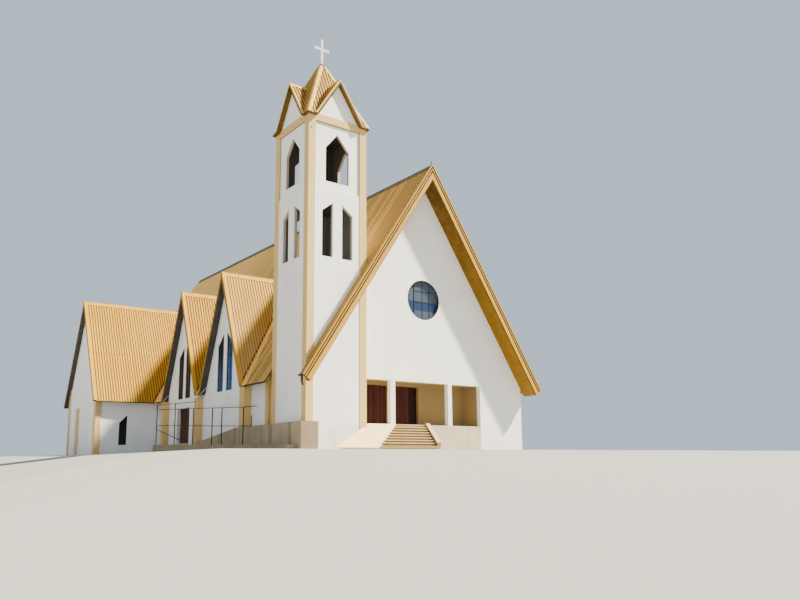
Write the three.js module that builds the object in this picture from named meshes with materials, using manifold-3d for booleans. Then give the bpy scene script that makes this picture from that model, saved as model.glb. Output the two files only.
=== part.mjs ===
// Modern church: steep main roof, square bell tower, cross gables, transepts, open porch.
// Millimetres. x runs from the axis of the nave, y back from the facade, z up from the porch floor.
import * as THREE from "three";
import { mergeVertices } from "three/addons/utils/BufferGeometryUtils.js";
import Module from "manifold-3d";

const wasm = await Module();
wasm.setup();

// Overall
const BASE_Z = -1400;
const CENTRE_Y = 15925;
const GAP = 0.3;
const WALL = 300;

// Main roof, thicknesses measured straight down
const RIDGE_Z = 15390;
const EAVE_X = 8620;
const EAVE_Z = 2300;
const ROOF = 150;
const FRONT_VERGE_Y = -1000;
const BACK_VERGE_Y = 34250;
const SLOPE = (RIDGE_Z - EAVE_Z) / EAVE_X;

// Nave
const NAVE_X = 7860;
const BACK_WALL_Y = 33250;
const AISLE_X = 8260;
const REAR_FLOOR_Z = -750;
const FLOOR_STEP_Y = 13200;

// Cross gables of both sides and the transepts
const GABLES = [
  { name: "gable_roof_front", y: 9200, half: 3100, ridge: 9650, verge: 8670, thick: 380 },
  { name: "gable_roof_rear", y: 15920, half: 3100, ridge: 9650, verge: 8670, thick: 380 },
  { name: "transept_roof", y: 24790, half: 4180, ridge: 10040, verge: 12840, thick: 320 },
];
const GABLE_EAVE_Z = 2330;
const EAVE_EDGE = 45;
const TRANSEPT_X = 12510;
const TRANSEPT_Y = [21100, 28480];

// Tower
const TOWER_X = -6245;
const TOWER_Y = 1425;
const TOWER_HALF = 1875;
const POST = 440;
const BAND_Z = [16340, 16745];
const BELFRY_Z = 12570;
const LOW_RECESS = 30;
const HIGH_RECESS = 80;
const TOWER_WALL = 250;
const TOWER_APEX = 21060;
const TOWER_EAVE = 16650;
const TOWER_EAVE_HALF = 2020;
const TOWER_GABLE_RIDGE = 19025;
const TOWER_GABLE_HALF = 1520;
const TOWER_GABLE_THICK = 255;
const TOWER_VERGE = 2090;

// Porch and doors
const PORCH_X = [TOWER_X + TOWER_HALF, 4340];
const PORCH_HEAD = 2450;
const PORCH_BACK_Y = [1600, 1850];
const DOOR_HEAD = 2340;
const LEFT_DOOR = [-3270, -1470];
const MIDDLE_DOOR = [-1010, 790];
const SIDE_DOOR_Y = [14710, 16910];
const SIDE_DOOR_Z = [-700, 1650];
const LEAF = 50;
const LEAF_CLEAR = 8;
const MEETING = 10;
const BOSS = 22;

// Materials
const tones = {
  roof: ["#c79a4c", 0.45, 0.6],
  trim: ["#e0c078", 0.5, 0.3],
  wall: ["#efe9e0", 0.85, 0],
  post: ["#e2caa2", 0.85, 0],
  glass: ["#20262c", 0.15, 0],
  door: ["#4a2419", 0.6, 0],
  concrete: ["#a2947c", 0.9, 0],
  cross: ["#d8d8d4", 0.4, 0.5],
  rail: ["#4a3626", 0.6, 0.3],
};

const part = new THREE.Group();
part.name = "modern_church";
part.position.set(0, -CENTRE_Y, -BASE_Z);

// Solids from three.js shapes
function solid(geometry) {
  const bare = geometry.index ? geometry.clone() : geometry;
  bare.deleteAttribute("normal");
  bare.deleteAttribute("uv");
  const merged = mergeVertices(bare, 1e-3);
  const mesh = new wasm.Mesh({
    numProp: 3,
    vertProperties: new Float32Array(merged.attributes.position.array),
    triVerts: new Uint32Array(merged.index.array),
  });
  return new wasm.Manifold(mesh);
}

function outline(points) {
  return new THREE.Shape(points.map(([u, v]) => new THREE.Vector2(u, v)));
}

function extrusion(shape, length) {
  return new THREE.ExtrudeGeometry(shape, { depth: length, bevelEnabled: false, curveSegments: 24 });
}

// Plan outline (x, y) from z0 up to z1
function upright(points, z0, z1) {
  const g = extrusion(outline(points), z1 - z0);
  g.translate(0, 0, z0);
  return solid(g);
}

// Front outline (x, z) from y0 back to y1
function across(points, y0, y1) {
  const g = extrusion(outline(points), y1 - y0);
  g.rotateX(Math.PI / 2);
  g.translate(0, y1, 0);
  return solid(g);
}

// Side outline (y, z) from x0 to x1
function sideways(points, x0, x1) {
  const g = extrusion(outline(points), x1 - x0);
  g.rotateX(Math.PI / 2);
  g.rotateZ(Math.PI / 2);
  g.translate(x0, 0, 0);
  return solid(g);
}

function box(x0, x1, y0, y1, z0, z1) {
  const g = new THREE.BoxGeometry(x1 - x0, y1 - y0, z1 - z0);
  g.translate((x0 + x1) / 2, (y0 + y1) / 2, (z0 + z1) / 2);
  return solid(g);
}

function join(first, ...rest) {
  return rest.reduce((sum, next) => sum.add(next), first);
}

function cut(first, ...rest) {
  return rest.reduce((left, next) => left.subtract(next), first);
}

function mirrored(body) {
  return body.mirror([1, 0, 0]);
}

function add(name, body, tone) {
  const mesh = body.getMesh();
  const g = new THREE.BufferGeometry();
  g.setAttribute("position", new THREE.BufferAttribute(new Float32Array(mesh.vertProperties), 3));
  g.setIndex(new THREE.BufferAttribute(new Uint32Array(mesh.triVerts), 1));
  g.computeVertexNormals();
  const [color, roughness, metalness] = tones[tone];
  const made = new THREE.Mesh(g, new THREE.MeshStandardMaterial({ color, roughness, metalness }));
  made.name = name;
  part.add(made);
}

// Main roof: a strip that follows both slopes, between two depths measured straight down from the
// outer surface, with its lower ends square to the slope
function slopeStrip(top, bottom, y0, y1, reach = EAVE_X) {
  const foot = RIDGE_Z - SLOPE * reach;
  const inward = (depth) => (depth * SLOPE) / (1 + SLOPE * SLOPE);
  const down = (depth) => depth / (1 + SLOPE * SLOPE);
  const points = [
    [-reach + inward(top), foot - down(top)],
    [-reach + inward(bottom), foot - down(bottom)],
    [0, RIDGE_Z - bottom],
    [reach - inward(bottom), foot - down(bottom)],
    [reach - inward(top), foot - down(top)],
    [0, RIDGE_Z - top],
  ];
  return across(points, y0, y1);
}

// Everything below a surface parallel to the main roof
function underMain(depth, y0, y1, reach = 14000) {
  const drop = SLOPE * reach;
  const foot = Math.min(BASE_Z - 3000, RIDGE_Z - depth - drop - 500);
  const points = [
    [-reach, foot],
    [reach, foot],
    [reach, RIDGE_Z - depth - drop],
    [0, RIDGE_Z - depth],
    [-reach, RIDGE_Z - depth - drop],
  ];
  return across(points, y0, y1);
}

// Everything below a surface parallel to a cross gable of the left side
function underGable(gable, depth, x0, x1) {
  const slope = (gable.ridge - GABLE_EAVE_Z) / gable.half;
  const reach = gable.half + 2000;
  const low = gable.ridge - depth - slope * reach;
  const points = [
    [gable.y - reach, low - 3000],
    [gable.y + reach, low - 3000],
    [gable.y + reach, low],
    [gable.y, gable.ridge - depth],
    [gable.y - reach, low],
  ];
  return sideways(points, x0, x1);
}

function gableSlab(gable) {
  const slope = (gable.ridge - GABLE_EAVE_Z) / gable.half;
  const flat = GABLE_EAVE_Z - EAVE_EDGE;
  const inner = (gable.ridge - gable.thick - flat) / slope;
  const points = [
    [gable.y - gable.half, GABLE_EAVE_Z],
    [gable.y - gable.half, flat],
    [gable.y - inner, flat],
    [gable.y, gable.ridge - gable.thick],
    [gable.y + inner, flat],
    [gable.y + gable.half, flat],
    [gable.y + gable.half, GABLE_EAVE_Z],
    [gable.y, gable.ridge],
  ];
  const slab = sideways(points, -gable.verge, -3000);
  const inside = underMain(ROOF, FRONT_VERGE_Y - 100, BACK_VERGE_Y + 100);
  const nave = box(-AISLE_X, 0, 0, 40000, -6000, 20000);
  return cut(slab, inside.intersect(nave));
}

// Room that the slab of a cross gable takes outside the walls
function gableRoom(gable) {
  const above = underGable(gable, -GAP, -14000, -AISLE_X);
  const below = underGable(gable, gable.thick + GAP, -14100, -7000);
  const reach = gable.half + GAP;
  return cut(above, below).intersect(box(-14000, 0, gable.y - reach, gable.y + reach, -6000, 12000));
}

// Room of the tower, and the room beside it that the eave leaves free
const TOWER_FRONT_Y = TOWER_Y - TOWER_HALF;
const TOWER_BACK_Y = TOWER_Y + TOWER_HALF;
const towerRoom = box(
  TOWER_X - TOWER_HALF - GAP,
  TOWER_X + TOWER_HALF + GAP,
  TOWER_FRONT_Y - GAP,
  TOWER_BACK_Y + GAP,
  -2000,
  30000,
);
const besideTower = box(-9000, TOWER_X - TOWER_HALF + 10, FRONT_VERGE_Y + 350, TOWER_BACK_Y + GAP, -2000, 30000);
const towerBox = join(towerRoom, besideTower);

function mainRoofSide() {
  let slab = slopeStrip(0, ROOF, FRONT_VERGE_Y, BACK_VERGE_Y);
  slab = slab.intersect(box(-9000, -GAP / 2, -2000, 35000, -2000, 16000));
  for (const gable of GABLES) {
    slab = cut(slab, underGable(gable, -GAP, -14000, -2000));
  }
  return slab;
}

const roofSide = mainRoofSide();
add("main_roof_left", cut(roofSide, towerBox), "roof");
add("main_roof_right", mirrored(roofSide), "roof");

for (const gable of GABLES) {
  const slab = gableSlab(gable);
  add(gable.name + "_left", slab, "roof");
  add(gable.name + "_right", mirrored(slab), "roof");
}

// Ridge capping and the boxed verges at both ends of the main roof
add("ridge_cap", slopeStrip(-30, -GAP, FRONT_VERGE_Y, BACK_VERGE_Y, 220), "trim");

function verge(y0, y1, wallY0, wallY1, soffit) {
  const face = slopeStrip(ROOF + GAP, 1000, y0, y1);
  const under = slopeStrip(soffit[0], soffit[1], wallY0, wallY1);
  return join(face, under);
}

const frontVerge = verge(FRONT_VERGE_Y, FRONT_VERGE_Y + 120, FRONT_VERGE_Y + 60, -GAP, [930, 1000]);
add("front_verge", cut(frontVerge, towerBox), "trim");
const backVerge = verge(BACK_VERGE_Y - 120, BACK_VERGE_Y, BACK_WALL_Y + GAP, BACK_VERGE_Y - 60, [930, 1000]);
add("back_verge", backVerge, "trim");

// Space under all the roofs, which trims the walls
function underOneGable(gable) {
  const below = underGable(gable, gable.thick + GAP, -gable.verge, -NAVE_X + 800);
  return below.intersect(box(-14000, 0, gable.y - gable.half, gable.y + gable.half, -6000, 12000));
}
const underSides = GABLES.map(underOneGable);
const underRoofs = join(
  underMain(ROOF + GAP, -500, BACK_VERGE_Y, EAVE_X),
  ...underSides,
  ...underSides.map(mirrored),
);

// Pair of half lancets with the points on the inner side, as a list of outlines
function lancetPair(centre, inner, outer, sill, shoulder, apex) {
  return [-1, 1].map((s) => [
    [centre + s * inner, sill],
    [centre + s * outer, sill],
    [centre + s * outer, shoulder],
    [centre + s * inner, apex],
  ]);
}

// The same outline, counterclockwise
function ordered(points) {
  const clockwise = THREE.ShapeUtils.isClockWise(points.map(([x, y]) => ({ x, y })));
  return clockwise ? [...points].reverse() : points;
}

// Facade with round window, open porch bays and their two piers
const PIERS_X = [[-2440, -2120], [1760, 2060]];
const ROUND = { z: 7310, r: 1158 };

function facadeWall() {
  const left = PORCH_X[0] + GAP;
  let wall = box(left, NAVE_X, 0, WALL, BASE_Z, RIDGE_Z).intersect(underRoofs);
  const bays = [
    [left - 10, PIERS_X[0][0]],
    [PIERS_X[0][1], PIERS_X[1][0]],
    [PIERS_X[1][1], PORCH_X[1]],
  ];
  for (const [x0, x1] of bays) {
    wall = cut(wall, box(x0, x1, -10, WALL + 10, -10, PORCH_HEAD));
  }
  wall = cut(wall, box(left - 10, PORCH_X[1], -10, WALL + 10, BASE_Z - 10, GAP));
  const hole = new THREE.CylinderGeometry(ROUND.r, ROUND.r, 1000, 48);
  hole.translate(0, 0, ROUND.z);
  return cut(wall, solid(hole));
}
add("facade_wall", facadeWall(), "wall");

function roundWindow() {
  const r = ROUND.r - GAP;
  const profile = [
    new THREE.Vector2(0, -15),
    new THREE.Vector2(r - 90, -15),
    new THREE.Vector2(r - 90, -60),
    new THREE.Vector2(r, -60),
    new THREE.Vector2(r, 60),
    new THREE.Vector2(r - 90, 60),
    new THREE.Vector2(r - 90, 15),
    new THREE.Vector2(0, 15),
  ];
  const g = new THREE.LatheGeometry(profile, 48);
  g.translate(0, 160, ROUND.z);
  return solid(g);
}
add("round_window", roundWindow(), "glass");

// Porch: floor, ceiling with lintel, and the wall with the doors
const PORCH_SIDE = PORCH_X[0] + GAP;
const porchHinges = [...LEFT_DOOR, ...MIDDLE_DOOR];
const platform = join(
  box(PORCH_SIDE, PORCH_X[1] - GAP, 0, PORCH_BACK_Y[1] + 300, BASE_Z, 0),
  ...porchHinges.map((x) => disc(x, PORCH_BACK_Y[1], 0)),
);
add("porch_platform", platform, "concrete");

// Low round boss under a hinge
function disc(x, y, z) {
  const g = new THREE.CylinderGeometry(BOSS, BOSS, LEAF_CLEAR - GAP + 10, 24);
  g.rotateX(Math.PI / 2);
  g.translate(x, y, z + (LEAF_CLEAR - GAP - 10) / 2);
  return solid(g).intersect(box(x - 30, x + 30, y - 30, y + 30, z - 10, z + LEAF_CLEAR - GAP));
}

const ceiling = join(
  box(PORCH_SIDE, PORCH_X[1] + WALL - GAP, WALL + GAP, PORCH_BACK_Y[1], PORCH_HEAD, PORCH_HEAD + 200),
  box(PORCH_SIDE, NAVE_X - WALL - GAP, PORCH_BACK_Y[0], PORCH_BACK_Y[1], DOOR_HEAD, PORCH_HEAD + 200),
).intersect(underRoofs);
add("porch_ceiling", ceiling, "post");

const porchTop = DOOR_HEAD - GAP;
function porchWall(x0, x1) {
  const bossRooms = porchHinges.map((x) => box(x - 30, x + 30, 1800, 1900, -1, LEAF_CLEAR + 1));
  return cut(box(x0, x1, PORCH_BACK_Y[0], PORCH_BACK_Y[1], GAP, porchTop), ...bossRooms);
}
add("porch_wall_left", porchWall(PORCH_SIDE, LEFT_DOOR[0]), "wall");
add("porch_wall_middle", porchWall(LEFT_DOOR[1], MIDDLE_DOOR[0]), "wall");
const porchRight = join(
  porchWall(MIDDLE_DOOR[1], PORCH_X[1]),
  box(PORCH_X[1], PORCH_X[1] + WALL, WALL + GAP, PORCH_BACK_Y[1], BASE_Z, porchTop),
  box(PORCH_X[1], NAVE_X - WALL - GAP, PORCH_BACK_Y[0], PORCH_BACK_Y[1], BASE_Z, porchTop),
);
const overPlatform = box(MIDDLE_DOOR[1], PORCH_X[1] - GAP, 1500, 1900, -2000, GAP);
add("porch_wall_right", cut(porchRight, overPlatform), "wall");

// Door leaves, hinged at the inner face of their wall
function porchLeaf(hinge, free) {
  const s = Math.sign(free - hinge);
  const a = hinge + s * 6;
  const x = [Math.min(a, free), Math.max(a, free)];
  return box(...x, PORCH_BACK_Y[1] - LEAF, PORCH_BACK_Y[1], LEAF_CLEAR, DOOR_HEAD - LEAF_CLEAR);
}
const LEFT_MEET = (LEFT_DOOR[0] + LEFT_DOOR[1]) / 2;
const MIDDLE_MEET = 200;
add("porch_door_left_a", porchLeaf(LEFT_DOOR[0], LEFT_MEET - MEETING / 2), "door");
add("porch_door_left_b", porchLeaf(LEFT_DOOR[1], LEFT_MEET + MEETING / 2), "door");
add("porch_door_middle_a", porchLeaf(MIDDLE_DOOR[0], MIDDLE_MEET - MEETING / 2), "door");
add("porch_door_middle_b", porchLeaf(MIDDLE_DOOR[1], MIDDLE_MEET + MEETING / 2), "door");

const SIDE_INNER_X = -AISLE_X + WALL;
function sideLeaf(hinge, free) {
  const s = Math.sign(free - hinge);
  const a = hinge + s * 6;
  const x = [SIDE_INNER_X - LEAF, SIDE_INNER_X];
  const z = [SIDE_DOOR_Z[0] + LEAF_CLEAR, SIDE_DOOR_Z[1] - LEAF_CLEAR];
  return box(...x, Math.min(a, free), Math.max(a, free), ...z);
}
const SIDE_MEET = (SIDE_DOOR_Y[0] + SIDE_DOOR_Y[1]) / 2;
add("side_door_a", sideLeaf(SIDE_DOOR_Y[0], SIDE_MEET - MEETING / 2), "door");
add("side_door_b", sideLeaf(SIDE_DOOR_Y[1], SIDE_MEET + MEETING / 2), "door");

// Floor of the nave in two levels, with the sill of the side door
function naveFloor() {
  const in0 = -NAVE_X + WALL + GAP;
  const in1 = NAVE_X - WALL - GAP;
  const t = TRANSEPT_X - WALL - GAP;
  const under = REAR_FLOOR_Z - 200;
  const front = join(
    box(in0, in1, TOWER_BACK_Y + GAP, FLOOR_STEP_Y, -200, 0),
    box(TOWER_X + TOWER_HALF + GAP, in1, PORCH_BACK_Y[1] + 300 + GAP, TOWER_BACK_Y + 1, -200, 0),
  );
  const rear = join(
    box(in0, in1, FLOOR_STEP_Y - 200, BACK_WALL_Y - WALL - GAP, under, REAR_FLOOR_Z),
    box(in0, in1, FLOOR_STEP_Y - 200, FLOOR_STEP_Y, under, 0),
    box(-t, t, TRANSEPT_Y[0] + WALL + GAP, TRANSEPT_Y[1] - WALL - GAP, under, REAR_FLOOR_Z),
  );
  const sill = join(
    box(-AISLE_X + 10, in0 + 10, SIDE_DOOR_Y[0] + GAP, SIDE_DOOR_Y[1] - GAP, under, SIDE_DOOR_Z[0]),
    box(SIDE_INNER_X + GAP, in0 + 10, SIDE_DOOR_Y[0] - 60, SIDE_DOOR_Y[1] + 60, under, SIDE_DOOR_Z[0] - 200),
    disc(SIDE_INNER_X, SIDE_DOOR_Y[0], SIDE_DOOR_Z[0]),
    disc(SIDE_INNER_X, SIDE_DOOR_Y[1], SIDE_DOOR_Z[0]),
  );
  return join(front, rear, sill);
}
add("nave_floor", naveFloor(), "concrete");

// Left side: wall of the two cross gables, split beside and over the side door
const SIDE_WINDOWS = [
  lancetPair(9250, 220, 1100, 2300, 5150, 5940),
  lancetPair(15810, 190, 1100, 2300, 5150, 5900),
];

// One sheet of glass behind the outer skin of the wall, joined by a strip along the sills
const SKIN = 80;
const PANE = 20;
function sideSheet(x0, x1, more) {
  const sheet = (c) => [
    [c - 1200 - more, 2250 - more],
    [c + 1200 + more, 2250 - more],
    [c + 1200 + more, 5150 + more],
    [c + 280 + more, 6020 + more],
    [c - 280 - more, 6020 + more],
    [c - 1200 - more, 5150 + more],
  ];
  const strip = box(x0, x1, 9250, 15810, 2250 - more, 2290 + more);
  return join(sideways(sheet(9250), x0, x1), sideways(sheet(15810), x0, x1), strip);
}

function sideWindowCuts() {
  const holes = SIDE_WINDOWS.flat().map((p) => sideways(ordered(p), -AISLE_X - 100, -AISLE_X + WALL + 100));
  return [...holes, sideSheet(-AISLE_X + SKIN, -AISLE_X + WALL + 100, GAP)];
}

const AISLE_Y = [6350, 18900];
const aisleWall = box(-AISLE_X, -AISLE_X + WALL, AISLE_Y[0], AISLE_Y[1], BASE_Z, 12000);
const frontReturn = join(
  box(-NAVE_X, -NAVE_X + WALL, 4560 + GAP, AISLE_Y[0] + WALL, BASE_Z, 6000),
  box(-AISLE_X, -NAVE_X + WALL, AISLE_Y[0], AISLE_Y[0] + WALL, BASE_Z, 6000),
);
const rearReturn = join(
  box(-NAVE_X, -NAVE_X + WALL, AISLE_Y[1] - WALL, TRANSEPT_Y[0] - GAP, BASE_Z, 6000),
  box(-AISLE_X, -NAVE_X + WALL, AISLE_Y[1] - WALL, AISLE_Y[1], BASE_Z, 6000),
);
const sideWall = cut(join(aisleWall, frontReturn, rearReturn).intersect(underRoofs), ...sideWindowCuts());
const SPLIT_Y = 12900;
const zone = (y0, y1, z0, z1) => box(-9000, -AISLE_X + WALL, y0, y1, z0, z1);
const doorway = box(-9000, -7000, SIDE_DOOR_Y[0], SIDE_DOOR_Y[1], -2000, SIDE_DOOR_Z[1] + 10);
const overDoorRoom = zone(SPLIT_Y - GAP, AISLE_Y[1] + 10, SIDE_DOOR_Z[1] - GAP, 12000);
function bossRoom(y) {
  const z = SIDE_DOOR_Z[0];
  return box(SIDE_INNER_X - 30, SIDE_INNER_X + 30, y - 30, y + 30, z - 11, z + 9);
}
const lowerWall = cut(sideWall, overDoorRoom, doorway, ...SIDE_DOOR_Y.map(bossRoom));
const overDoor = sideWall.intersect(zone(SPLIT_Y, AISLE_Y[1], SIDE_DOOR_Z[1], 12000));
const returnRoom = box(-9000, -NAVE_X + GAP, AISLE_Y[1] - WALL - GAP, 20000, -2000, 3500);
add("left_wall_front", lowerWall.intersect(box(-9000, -6000, 4000, 15800, -2000, 12000)), "wall");
add("left_wall_rear", lowerWall.intersect(box(-9000, -6000, 15800, 30000, -2000, 12000)), "wall");
add("left_wall_over_door", cut(overDoor, returnRoom), "wall");

// Piers of the left side
function pier(x0, x1, y0, y1, top) {
  return cut(box(x0, x1, y0, y1, BASE_Z, top).intersect(underRoofs), ...GABLES.map(gableRoom));
}
const towerPier = join(
  pier(-NAVE_X, -NAVE_X + WALL, 4210, 4560, 6000),
  pier(-NAVE_X + 180, -NAVE_X + WALL, TOWER_BACK_Y + GAP, 4220, 6000),
);
add("pier_tower", towerPier, "post");
const frontPier = join(
  pier(-AISLE_X - 60, -AISLE_X - GAP, 6290, 6950, 6000),
  pier(-AISLE_X - 60, -NAVE_X - GAP, 6290, 6350 - GAP, 6000),
);
add("pier_front", frontPier, "post");
add("pier_middle", pier(-AISLE_X - 400, -AISLE_X - GAP, 12440, 12900, 2200), "post");
add("pier_rear", pier(-AISLE_X - 400, -AISLE_X - GAP, 18440, 18900, 2200), "post");

// Right side: the same gables in one wall, without a door
const rightFront = box(-NAVE_X, -NAVE_X + WALL, WALL + GAP, 4570, BASE_Z, 6000).intersect(underRoofs);
const rightPier = (y) => pier(-AISLE_X - 300, -AISLE_X + 10, y - 230, y + 230, 2200);
add("right_wall", mirrored(join(sideWall, rightFront, ...[6650, 12670, 18670].map(rightPier))), "wall");

const glassSheet = sideSheet(-AISLE_X + SKIN + GAP, -AISLE_X + SKIN + GAP + PANE, 0);
add("side_glass_left", glassSheet, "glass");
add("side_glass_right", mirrored(glassSheet), "glass");

// Transepts with their corner and middle piers, and one half lancet in the front wall
const TRANSEPT_WINDOW = [[-10890, -700], [-10340, -700], [-10340, 1430], [-10890, 840]];

function transept() {
  const [y0, y1] = TRANSEPT_Y;
  const shell = cut(
    box(-TRANSEPT_X, -NAVE_X + WALL, y0, y1, BASE_Z, 12000),
    box(-TRANSEPT_X + WALL, -NAVE_X + WALL + 10, y0 + WALL, y1 - WALL, BASE_Z - 10, 12010),
  ).intersect(underRoofs);
  const posts = join(
    box(-TRANSEPT_X - 60, -TRANSEPT_X + 10, y0 - 60, y0 + 400, BASE_Z, 12000),
    box(-TRANSEPT_X - 60, -TRANSEPT_X + 340, y0 - 60, y0 + 10, BASE_Z, 12000),
    box(-TRANSEPT_X - 60, -TRANSEPT_X + 10, y1 - 400, y1 + 60, BASE_Z, 12000),
    box(-TRANSEPT_X - 60, -TRANSEPT_X + 10, 25500, 26300, BASE_Z, 2100),
  ).intersect(underRoofs);
  return cut(join(shell, posts), across(ordered(TRANSEPT_WINDOW), y0 - 100, y0 + WALL + 100));
}
const transeptBody = transept();
add("transept_left", transeptBody, "wall");
add("transept_right", mirrored(transeptBody), "wall");

const paneOutline = [
  [-10890 + GAP, -700 + GAP],
  [-10340 - GAP, -700 + GAP],
  [-10340 - GAP, 1430 - 2 * GAP],
  [-10890 + GAP, 840 - 2 * GAP],
];
const transeptGlass = across(paneOutline, TRANSEPT_Y[0] + 70, TRANSEPT_Y[0] + 90);
add("transept_glass_left", transeptGlass, "glass");
add("transept_glass_right", mirrored(transeptGlass), "glass");

// Rear end of the nave: two side walls and the back gable
const rearWalls = cut(
  box(-NAVE_X, NAVE_X, TRANSEPT_Y[1] + GAP, BACK_WALL_Y, BASE_Z, RIDGE_Z),
  box(-NAVE_X + WALL, NAVE_X - WALL, 20000, BACK_WALL_Y - WALL, BASE_Z - 10, RIDGE_Z + 10),
).intersect(underRoofs);
add("back_walls", rearWalls, "wall");

// Tower frame: four corner posts tied by a band
const tx = (u) => TOWER_X + u;
const ty = (v) => TOWER_Y + v;
function towerFrame() {
  const h = TOWER_HALF;
  const posts = [[-1, -1], [1, -1], [-1, 1], [1, 1]].map(([s, t]) => {
    const x = [tx(s * h), tx(s * (h - POST))].sort((a, b) => a - b);
    const y = [ty(t * h), ty(t * (h - POST))].sort((a, b) => a - b);
    return box(x[0], x[1], y[0], y[1], BASE_Z, BAND_Z[1]);
  });
  const band = cut(
    box(tx(-h), tx(h), ty(-h), ty(h), BAND_Z[0], BAND_Z[1]),
    box(tx(-h + 300), tx(h - 300), ty(-h + 300), ty(h - 300), BAND_Z[0] - 1, BAND_Z[1] + 1),
  );
  return join(band, ...posts);
}
add("tower_frame", towerFrame(), "post");

// Tower walls between the posts, drawn for the front and turned to each side
const BELFRY_HOLE = [[-747, 13036], [747, 13036], [747, 14960], [0, 15848], [-747, 14960]];
function towerWall(turn, lancets) {
  const w = TOWER_HALF - POST - GAP;
  const front = -TOWER_HALF;
  let wall = join(
    box(-w, w, front + LOW_RECESS, front + TOWER_WALL, BASE_Z, BELFRY_Z),
    box(-w, w, front + HIGH_RECESS, front + TOWER_WALL, BELFRY_Z - 10, BAND_Z[0] - GAP),
  );
  wall = cut(wall, across(BELFRY_HOLE, front - 100, front + 400));
  if (lancets) {
    for (const p of lancetPair(0, 291, 974, 8793, 11319, 11852)) {
      wall = cut(wall, across(ordered(p), front - 100, front + 400));
    }
  }
  return wall.rotate([0, 0, turn]).translate([TOWER_X, TOWER_Y, 0]);
}
add("tower_wall_front", towerWall(0, true), "wall");
add("tower_wall_left", towerWall(-90, true), "wall");
add("tower_wall_back", towerWall(180, true), "wall");
add("tower_wall_right", towerWall(90, false), "wall");

function belfryFloor() {
  const r = TOWER_HALF - TOWER_WALL - GAP;
  const c = TOWER_HALF - POST - GAP;
  const quarter = [[c, -r], [c, -c], [r, -c]];
  const plan = [0, 1, 2, 3].flatMap((turn) => quarter.map(([u, v]) => {
    const [cos, sin] = [[1, 0], [0, 1], [-1, 0], [0, -1]][turn];
    return [u * cos - v * sin, u * sin + v * cos];
  }));
  return upright(plan.map(([u, v]) => [tx(u), ty(v)]), 12310, 12510);
}
add("belfry_floor", belfryFloor(), "concrete");

// Tower roof: pyramid crossed by four small gables
function pyramid(apex, drop) {
  const slope = (TOWER_APEX - TOWER_EAVE) / TOWER_EAVE_HALF;
  const foot = 15000;
  const half = (apex - drop - foot) / slope;
  const g = new THREE.ConeGeometry(half * Math.SQRT2, apex - drop - foot, 4, 1);
  g.rotateX(Math.PI / 2);
  g.rotateZ(Math.PI / 4);
  g.translate(TOWER_X, TOWER_Y, (apex - drop + foot) / 2);
  return solid(g);
}

const TOWER_GABLE_SLOPE = (TOWER_GABLE_RIDGE - TOWER_EAVE) / TOWER_GABLE_HALF;
function gablePrism(drop, length) {
  const reach = 3000;
  const low = TOWER_GABLE_RIDGE - drop - TOWER_GABLE_SLOPE * reach;
  const points = [
    [-reach, 13000],
    [reach, 13000],
    [reach, low],
    [0, TOWER_GABLE_RIDGE - drop],
    [-reach, low],
  ];
  return across(points, -length, length);
}

function crossed(drop, length) {
  const one = gablePrism(drop, length);
  return join(one, one.rotate([0, 0, 90])).translate([TOWER_X, TOWER_Y, 0]);
}

const TOWER_TOP = TOWER_APEX - 160;
const towerBlock = (u, v, z0, z1) => box(tx(-u), tx(u), ty(-v), ty(v), z0, z1);
const cap = pyramid(TOWER_APEX, -40).intersect(towerBlock(3000, 3000, 20395, TOWER_TOP));
const roofPlan = join(
  towerBlock(TOWER_EAVE_HALF, TOWER_EAVE_HALF, TOWER_EAVE - EAVE_EDGE, TOWER_TOP),
  towerBlock(TOWER_VERGE, TOWER_GABLE_HALF, TOWER_EAVE - EAVE_EDGE, TOWER_TOP),
  towerBlock(TOWER_GABLE_HALF, TOWER_VERGE, TOWER_EAVE - EAVE_EDGE, TOWER_TOP),
);
const outerRoof = join(pyramid(TOWER_APEX, 0), crossed(0, 4000)).intersect(roofPlan);
const towerRoof = cut(
  join(outerRoof, cap),
  pyramid(TOWER_APEX, 350),
  crossed(TOWER_GABLE_THICK, 4000),
  towerBlock(TOWER_HALF + GAP, TOWER_HALF + GAP, 10000, BAND_Z[1] + GAP),
);
add("tower_roof", towerRoof, "roof");

function towerGables() {
  const h = TOWER_HALF - 40;
  const inner = h - 150;
  const ring = cut(
    towerBlock(h, h, BAND_Z[1] + GAP, 20000),
    towerBlock(inner, inner, BAND_Z[1] + 100, 20100),
    towerBlock(1300, 1300, 16000, 20100),
  );
  const under = crossed(TOWER_GABLE_THICK + GAP, 4000);
  const low = towerBlock(inner, inner, 16000, BAND_Z[1] + 100);
  return ring.intersect(join(under, low));
}
add("tower_gable_walls", towerGables(), "wall");

// Cross on the cap of the tower roof
const CROSS_Z = 21828;
add("cross", join(
  towerBlock(75, 55, TOWER_TOP + GAP, 22450),
  towerBlock(505, 55, CROSS_Z - 75, CROSS_Z + 75),
), "cross");

// Entrance steps that widen towards the left, a cheek wall on the right, and a sloped slab
const STEPS = 8;
const RISER = 155;
const TREAD = 300;

function entranceSteps() {
  const stair = [[0, BASE_Z], [-GAP, -RISER]];
  for (let k = 1; k <= STEPS; k += 1) {
    stair.push([-TREAD * k, -RISER * k]);
    stair.push([-TREAD * k, k < STEPS ? -RISER * (k + 1) : BASE_Z]);
  }
  stair[0] = [-GAP, BASE_Z];
  const plan = [[-2110, 0], [-4860, -TREAD * STEPS], [-1060, -TREAD * STEPS], [90, 0]];
  const flight = sideways(ordered(stair), -6000, 1000).intersect(upright(ordered(plan), BASE_Z - 10, 10));
  const cheek = upright([[70, -GAP], [-1080, -2400], [-860, -2400], [290, -GAP]], BASE_Z, 300)
    .intersect(sideways([[-2400, BASE_Z], [0, BASE_Z], [0, 60], [-2400, -1100]], -3000, 3000));
  return join(flight, cheek);
}
add("entrance_steps", entranceSteps(), "concrete");

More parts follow.
